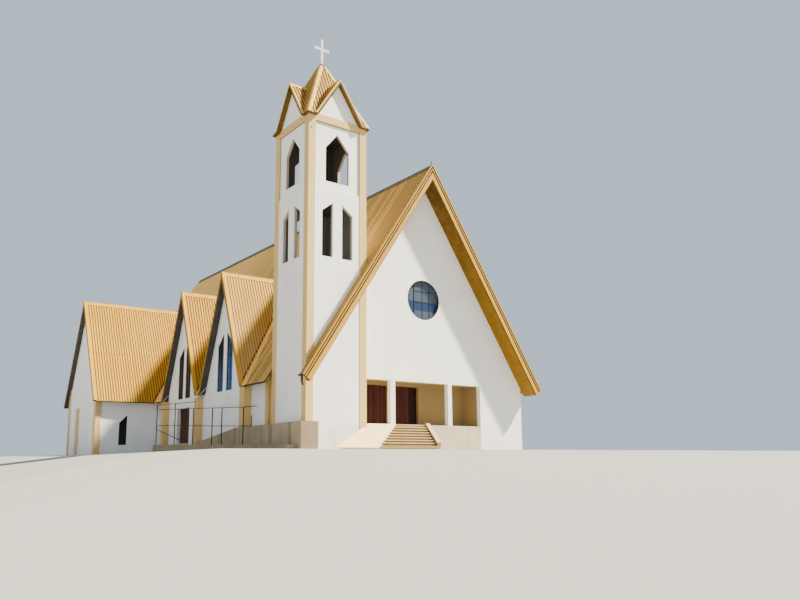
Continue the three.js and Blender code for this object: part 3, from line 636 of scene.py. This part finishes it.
purlins, struts = [], []
for name, (middle, half, ridge, verge, fall) in SIDE_ROOFS.items():
    thick, wall = (0.32, 12.51) if "transept" in name else (0.38, 8.26)
    for sign in (-1, 1):
        for way in (-1, 1):
            face = side_face(way, fall)
            for step in range(1, 6):
                down = half * (step + 0.2) / 6.3
                place = Vector((0, middle + way * down, ridge - thick - down * fall)) - face * 0.012
                start, end = (place + Vector((sign * out, 0, 0)) for out in (wall + 0.01, verge - 0.01))
                purlins.append(bar("purlin", start, end, 0.07, 0.03, face))
            if "transept" not in name:
                foot = Vector((sign * (verge - 0.05), middle + way * (half - 0.16), SIDE_EAVE - 0.04))
                head = Vector((sign * (wall + 0.02), middle + way * (half - 0.42), SIDE_EAVE + 0.42))
                struts.append(bar("strut", foot, head, 0.045, 0.045, (0, 1, 0)))
purlin_wood = mottled("purlin_wood", 0.8, 6.0, (66, 60, 50), (84, 76, 64))
fixed(joined("soffit_purlins", purlins), purlin_wood)
pale_steel = mottled("pale_steel", 0.4, 8.0, (188, 184, 176), (214, 210, 202), metallic=0.4)
fixed(joined("verge_struts", struts), pale_steel)

# Rain gear at the front left eave: a short gutter, its outlet and the head of a pipe, in brown steel.
# A spike of the same steel stands on the front end of the ridge.
dark_steel = mottled("dark_steel", 0.45, 5.0, (64, 50, 36), (88, 70, 50), metallic=0.3)
gutter = bar("gutter", (-8.655, -16.90, 3.67), (-8.655, -16.60, 3.67), 0.13, 0.09)
outlet = bar("outlet", (-8.60, -16.80, 3.64), (-8.60, -16.80, 3.34), 0.09, 0.09, (0, 1, 0))
elbow = bar("elbow", (-8.60, -16.82, 3.35), (-8.50, -16.70, 3.20), 0.08, 0.08, (0, 1, 0))
fixed(joined("eave_gutter", [gutter, outlet, elbow]), dark_steel)
spike = bar("ridge_spike", (0, -16.88, 16.78), (0, -16.88, 17.04), 0.035, 0.035, (0, 1, 0))
fixed(spike, dark_steel)

# Shadow strips of the tower: painted shade where the belfry walls meet the corner posts and the band above.
# They stand for the shade in the recesses there, drawn as dark strips a finger wide set behind the faces of
# the posts.
SHADOW_STRIP_PLANE, POST_EDGE, SHADOW_STRIP_FOOT, SHADOW_STRIP_HEAD, BAND_FOOT = -1.80, 1.422, 13.99, 17.73, 17.72
shadow_strips = []
for turn in quarters:
    face = turn @ Vector((0, -1, 0))
    for (x0, z0), (x1, z1), width in (
        ((-POST_EDGE, SHADOW_STRIP_FOOT), (-POST_EDGE, SHADOW_STRIP_HEAD), 0.022),
        ((POST_EDGE, SHADOW_STRIP_FOOT), (POST_EDGE, SHADOW_STRIP_HEAD), 0.022),
        ((-1.43, BAND_FOOT), (1.43, BAND_FOOT), 0.034),
    ):
        start, end = Vector((x0, SHADOW_STRIP_PLANE, z0)), Vector((x1, SHADOW_STRIP_PLANE, z1))
        shadow_strips.append(bar("groove", TOWER + turn @ start, TOWER + turn @ end, width, 0.02, face))
shadow_strip_brown = mottled("shadow_strip_brown", 0.9, 4.0, (112, 92, 66), (86, 70, 50))
fixed(joined("tower_shadow_strips", shadow_strips), shadow_strip_brown)
fitting = bar("post_fitting", (-7.968, -16.378, 17.21), (-7.968, -16.378, 17.28), 0.06, 0.02, (0, -1, 0))
fixed(fitting, dark_steel)

# Porch beam: it lies on the return wall at the right end of the porch and closes the strip below the ceiling.
# It is cast with the wall and painted in the same cream.
beam = bar("porch_beam", (4.49, -15.621, 3.795), (4.49, -14.326, 3.795), 0.299, 0.109)
fixed(beam, porch_cream)

# Cross: rolled steel bars painted in pale cream, welded together and let into the tip of the tower roof.
# The paint is dull and slightly uneven in tone.
coated(mottled("cross_paint", 0.5, 3.0, (240, 234, 224), (206, 198, 186)), "cross")


# Windows: panes in thin dark steel frames, with a bar down the middle and bars across.
# The glass is dark; the panes in the front cross gable are partly blue, and some panes of the round window
# are painted bluer, as painted reflections of the sky.
def glazing(name, tone):
    material, shader, place = surface(name, 0.3, gloss=0.08)
    feed(shader, Base_Color=tone(*place.apart()), Roughness=0.22 + place.noise(2.0) * 0.14)
    return material


def side_tone(x, y, z):
    cloud = (y * 0.7 + z * 0.5).math("SINE") * 0.5 + 0.5
    front_gable, nearest_pane = y.under(-3.4), y.under(-6.675)
    low = 1 - z.between(4.9, 5.8)
    blue = (front_gable * (nearest_pane * 0.45 + low * 0.6 + cloud * 0.2)).held()
    return blue.tint(paint(30, 34, 34), paint(52, 94, 148))


# The round window's lower band and lower left panes are painted bluer, as painted reflections of the sky.
def round_tone_and_reflection(x, y, z):
    band = z.under(8.60) * z.over(8.08)
    corner = x.under(-0.62) * z.under(8.65) * (1 - band)
    return (band * 0.75 + corner * 0.8).held().tint(paint(74, 84, 100), paint(26, 48, 92))


def dark_tone(x, y, z):
    return z.between(0.7, 2.8).tint(paint(42, 48, 56), paint(26, 28, 32))


coated(glazing("side_glazing", side_tone), "side_glass_left", "side_glass_right")
coated(glazing("round_glazing", round_tone_and_reflection), "round_window")
coated(glazing("dark_glazing", dark_tone), "transept_glass_left", "transept_glass_right")


def outlined(corners, spot, depth, up):
    """Frame bars round a window, whose corners spot places on its wall."""
    pairs = zip(corners, corners[1:] + corners[:1])
    return [bar("frame", spot(*start), spot(*end), 0.05, depth, up) for start, end in pairs]


frame_steel = mottled("frame_steel", 0.7, 7.0, (34, 34, 36), (52, 50, 50))
PANE_PLANE, SILL, SHOULDER, CROSS_BARS = 8.192, 3.72, 6.55, (4.45, 5.18, 5.91, 6.5)
bars = []
for sign in (-1, 1):
    x, up = sign * PANE_PLANE, (1, 0, 0)
    for centre, inner, outer, apex in ((-6.675, 0.22, 1.10, 7.34), (-0.115, 0.19, 1.10, 7.30)):
        for way in (-1, 1):
            near, far = centre + way * (inner + 0.02), centre + way * (outer - 0.02)
            corners = [(near, SILL), (far, SILL), (far, SHOULDER), (near, apex - 0.04)]
            bars += outlined(corners, lambda y, z: (x, y, z), 0.045, up)
            half = (near + far) / 2
            bars.append(bar("frame", (x, half, SILL), (x, half, (apex + SHOULDER) / 2), 0.03, 0.03, up))
            for z in CROSS_BARS:
                bars.append(bar("frame", (x, near, z), (x, far, z), 0.03, 0.025, up))
fixed(joined("side_window_frames", bars), frame_steel)

# Round window: a heavier ring of the same steel in the facade, with three upright bars and two across.
# The bars lie just ahead of the glass, and those across stop at the left upright.
ROUND_CENTRE, ROUND_REACH, BAR_PLANE = 8.71, 1.11, -15.80
bpy.ops.mesh.primitive_torus_add(
    location=(0.01, -15.89, 8.72), rotation=(math.pi / 2, 0, 0),
    major_radius=1.155, minor_radius=0.048, major_segments=64, minor_segments=8,
)
ring = bpy.context.object
bpy.ops.object.transform_apply()
bars, up = [ring], (0, 1, 0)
for x, width in ((-0.60, 0.032), (0.02, 0.02), (0.54, 0.024)):
    reach = math.sqrt(ROUND_REACH**2 - x * x)
    foot, head = (x, BAR_PLANE, ROUND_CENTRE - reach), (x, BAR_PLANE, ROUND_CENTRE + reach)
    bars.append(bar("frame", foot, head, width, 0.012, up))
for z in (9.26, 8.63):
    reach = math.sqrt(ROUND_REACH**2 - (z - ROUND_CENTRE) ** 2)
    bars.append(bar("frame", (-min(reach, 0.6), BAR_PLANE, z), (reach, BAR_PLANE, z), 0.024, 0.012, up))
fixed(joined("round_window_frame", bars), frame_steel)

# Transept windows: half lancets in the front walls of the transepts, framed in the same steel.
# Each has one upright and two bars across, a little behind the face of its frame.
FRAME_PLANE, BARS_PLANE = 5.23, 5.232
bars = []
for sign in (-1, 1):
    corners = [(10.89, 0.70), (10.34, 0.70), (10.34, 2.83), (10.89, 2.24)]
    bars += outlined(corners, lambda x, z: (sign * x, FRAME_PLANE, z), 0.03, (0, 1, 0))
    upright, lower, upper = (10.615, 0.70, 10.615, 2.53), (10.34, 1.25, 10.89, 1.25), (10.34, 1.8, 10.89, 1.8)
    for x0, z0, x1, z1 in (upright, lower, upper):
        start, end = (sign * x0, BARS_PLANE, z0), (sign * x1, BARS_PLANE, z1)
        bars.append(bar("frame", start, end, 0.03, 0.025, (0, 1, 0)))
fixed(joined("transept_window_frames", bars), frame_steel)


# Doors: upright planks of dark red hardwood on each leaf, held between a top and a bottom rail.
# The planks differ in tone, the lower boards are warmer, and one porch leaf is painted darker than the
# others, as painted shade.
def door_wood(name, dark, warm, deep, axis=0):
    """Axis is the one that the planks follow each other along."""
    material, shader, place = surface(name, 0.42)
    z = place.apart()[2]
    tone = (place.apart()[axis] * 6.1).drawn()
    figure = place.noise(9.0, 5.0, (1, 1, 0.06))
    low = 1 - z.between(1.4, 2.6)
    warmth = (tone * 0.45 + figure.between(0.35, 0.7) * 0.3 + low * 0.35).held()
    line = figure.between(0.60, 0.66) * 0.5
    feed(
        shader,
        Base_Color=line.tint(warmth.tint(paint(*dark), paint(*warm)), paint(*deep)),
        Roughness=0.36 + tone * 0.16,
        Normal=grain(figure, 0.15, 0.006),
    )
    return material


def planked(name, wood, ends, spot, out, rails, planks, count):
    """Rails and planks on the outer face of a leaf, where spot places a length, a height and a depth."""
    coated(wood, name)
    first, last = ends[0] + 0.015, ends[1] - 0.015
    boards = [bar("rail", spot(first, z, 0.001), spot(last, z, 0.001), 0.012, high) for z, high in rails]
    pitch, (foot, head) = (last - first) / count, planks
    for step in range(count):
        at = first + pitch * (step + 0.5)
        boards.append(bar("plank", spot(at, foot, 0), spot(at, head, 0), pitch - 0.014, 0.010, out))
    fixed(joined(name + "_planks", boards), wood, name + "_leaf")


red_wood = door_wood("red_wood", (54, 26, 18), (98, 50, 32), (28, 14, 10))
wood_painted_shade = door_wood("wood_painted_shade", (28, 12, 7), (50, 24, 14), (14, 6, 4))
side_wood = door_wood("side_wood", (30, 15, 10), (92, 42, 18), (18, 8, 5), axis=1)
PORCH_LEAF_FACE, SIDE_LEAF_FACE = -14.130, -8.015
for letters, wood, ends in (
    ("left_a", red_wood, (-3.264, -2.375)),
    ("left_b", red_wood, (-2.365, -1.476)),
    ("middle_a", red_wood, (-1.004, 0.195)),
    ("middle_b", wood_painted_shade, (0.205, 0.784)),
):
    count = round((ends[1] - ends[0]) / 0.164)
    planked(
        "porch_door_" + letters, wood, ends,
        spot=lambda x, z, proud: (x, PORCH_LEAF_FACE - proud, z), out=(0, -1, 0),
        rails=((3.66, 0.13), (1.50, 0.16)), planks=(1.585, 3.59), count=count,
    )
handle = bar("handle", (-0.86, -14.175, 2.18), (-0.86, -14.175, 2.46), 0.022, 0.022, (0, 1, 0))
stubs = [bar("stub", (-0.86, -14.18, z), (-0.86, -14.124, z), 0.018, 0.018) for z in (2.21, 2.43)]
fixed(joined("porch_door_handle", [handle] + stubs), pale_steel, "porch_door_middle_a_leaf")
for name, ends in (("side_door_a", (-1.209, -0.120)), ("side_door_b", (-0.110, 0.979))):
    planked(
        name, side_wood, ends,
        spot=lambda y, z, proud: (SIDE_LEAF_FACE - proud, y, z), out=(-1, 0, 0),
        rails=((2.97, 0.12), (0.80, 0.16)), planks=(0.885, 2.905), count=6,
    )


# Concrete: the steps, ramp, floors and plinth are cast in place, and left bare or washed in cream.
# Rain has left clouds, drips and grit; the ramp shows its joints and the plinth some dark streaks.
def cast_concrete(name, coat, wash, marks=None):
    material, shader, place = surface(name, 0.85)
    cloud = place.noise(1.1, 5.0).between(0.35, 0.75)
    drip = place.noise(3.2, 4.0, (1, 1, 0.04)).between(0.56, 0.72)
    grit = place.noise(38.0, 2.0).between(0.45, 0.8)
    dirt = (cloud * 0.28 + drip * 0.32 + grit * 0.10).held()
    colour = dirt.tint(paint(*coat), paint(*wash))
    if marks is not None:
        colour = (marks(*place.apart()) * 0.4).held().tint(colour, paint(*wash))
    feed(shader, Base_Color=colour, Normal=grain(place.noise(26.0), 0.3, 0.008))
    return material


def ramp_joints(x, y, z):
    slabs_per_metre = 1.6
    return abs((y * slabs_per_metre).math("FRACT") - 0.5).over(0.47)


def plinth_streaks(x, y, z):
    kerb = x.under(-8.52)
    streak = y.made("ShaderNodeTexNoise", {"noise_dimensions": "1D"}, {"W": y * 1.4, "Scale": 1.0})
    return (1 - kerb) * streak.over(0.6)


coated(cast_concrete("plinth", (178, 158, 128), (92, 78, 58), plinth_streaks), "side_terrace")
coated(cast_concrete("pale_slab", (236, 210, 164), (180, 150, 108), ramp_joints), "entrance_ramp")
# The risers are painted darker than the nosings, as painted shade under them.
coated(cast_concrete("riser_painted_shade", (160, 134, 92), (116, 92, 60)), "entrance_steps")
coated(cast_concrete("floor_grey", (206, 190, 164), (150, 132, 108)), "porch_platform", "nave_floor")
coated(cast_concrete("loft_concrete", (96, 86, 72), (60, 52, 42)), "belfry_floor")

# Nosings: each step ends in a pale slab that overhangs its riser, and the cheek wall has a pale coping.
# The slabs are cast on their own and bedded in mortar; the flight widens and shifts to the left as it falls.
RISER, TREAD, STEPS, FLIGHT_BACK, FLIGHT_TOP = 0.155, 0.3, 8, -15.915, 1.378
nosings = []
for step in range(STEPS):
    share = step / STEPS
    y, z = FLIGHT_BACK - TREAD * step, FLIGHT_TOP - RISER * step
    left, right = -2.13 - 2.75 * share, 0.07 - 1.15 * share
    nosings.append(bar("nosing", (left, y, z), (right, y, z), 0.09, 0.05))
coping = bar("coping", (0.18, -15.93, 1.475), (-0.96, -18.32, 0.315), 0.23, 0.05)
nosing_cream = cast_concrete("nosing_cream", (206, 182, 136), (160, 134, 94))
fixed(joined("step_nosings", nosings + [coping]), nosing_cream)

# Railing: brown steel tube on the kerb, with a shorter rail that leads to the side door.
# These are its welded ends and the second rail, all in the line of the posts but for one that turns in.
rail_brown = mottled("rail_brown", 0.5, 5.0, (52, 38, 30), (76, 56, 44), metallic=0.3)
coated(rail_brown, "side_railing")
LINE, THIN, THICK, UPRIGHT = -8.86, 0.04, 0.045, (0, 1, 0)
tubes = [
    bar("tube", (LINE, -10.70, 2.44), (LINE, -12.35, 2.40), THIN, THIN),
    bar("tube", (LINE, -10.70, 1.38), (LINE, -11.80, 1.33), THIN, THIN),
    bar("tube", (LINE, -11.74, 1.34), (LINE, -11.74, 1.92), THIN, THIN, UPRIGHT),
    bar("tube", (LINE, 3.275, 3.10), (LINE, 3.275, 3.50), THICK, THICK, UPRIGHT),
    bar("tube", (LINE, -0.225, 2.95), (LINE, -0.225, 3.36), THICK, THICK, UPRIGHT),
    bar("tube", (LINE, 3.28, 3.48), (LINE, -0.23, 3.34), THIN, THIN),
    bar("tube", (LINE, -0.22, 3.34), (-8.65, -3.25, 3.26), THIN, THIN),
    bar("tube", (LINE, 3.28, 1.75), (LINE, -2.60, 0.62), THIN, THIN),
]
fixed(joined("railing_ends", tubes), rail_brown)

# Camera: it looks up at the building from well before its front left corner, at the photograph's angle.
# Its place, direction, roll, lens and shift were fitted to the edges in the photograph.
bpy.ops.object.camera_add(location=(-27.34, -49.875, -0.73))
camera = bpy.context.object
yaw, pitch, roll = math.radians(37.0065), math.radians(9.4054), math.radians(0.518)
ahead = Vector((math.sin(yaw) * math.cos(pitch), math.cos(yaw) * math.cos(pitch), math.sin(pitch)))
level = Vector((math.cos(yaw), -math.sin(yaw), 0))
above = level.cross(ahead)
right = math.cos(roll) * level - math.sin(roll) * above
above = math.sin(roll) * level + math.cos(roll) * above
turn = Matrix((right, above, -ahead)).transposed().to_4x4()
camera.matrix_world = Matrix.Translation(camera.location) @ turn
camera.data.lens, camera.data.sensor_width, camera.data.shift_y = 33.975, 36, 0.0473
camera.data.clip_end = 500
bpy.context.scene.camera = camera

# Light: soft studio light from high on the front right, in a warm white.
# A pale blue fill all round keeps the shaded sides clear.
towards_sun = Vector((1.914, -1.0, 2.393))
bpy.ops.object.light_add(type="SUN", rotation=towards_sun.to_track_quat("Z", "Y").to_euler())
sun = bpy.context.object.data
sun.energy, sun.angle, sun.color = 19.0, math.radians(3.0), (1.0, 0.93, 0.76)
world = bpy.data.worlds.new("fill")
world.use_nodes = True
fill = world.node_tree.nodes["Background"]
fill.inputs["Color"].default_value = (0.72, 0.85, 1.0, 1)
fill.inputs["Strength"].default_value = 0.84
bpy.context.scene.world = world

# Floor: a plain pale sheet that lies level under the building.
# Ahead of the building and to the left of it the sheet falls away, below the camera's line of sight.
bpy.ops.mesh.primitive_grid_add(x_subdivisions=60, y_subdivisions=60, size=260, location=(0, 0, -0.01))
floor = bpy.context.object
floor.name = "floor"
bpy.ops.object.transform_apply()
level_front, level_left, reach, drop = 19, 13, 14, 2.6
for vertex in floor.data.vertices:
    before, beside = -vertex.co.y - level_front, -vertex.co.x - level_left - max(0, vertex.co.y) * 0.4
    vertex.co.z -= drop * (1 - math.exp(-((max(0, before, beside) / reach) ** 2)))
plain, plain_shader, _ = surface("plain_floor", 0.9)
plain_shader.inputs["Base Color"].default_value = paint(156, 153, 147)
floor.data.materials.append(plain)
floor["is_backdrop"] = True

low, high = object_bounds()
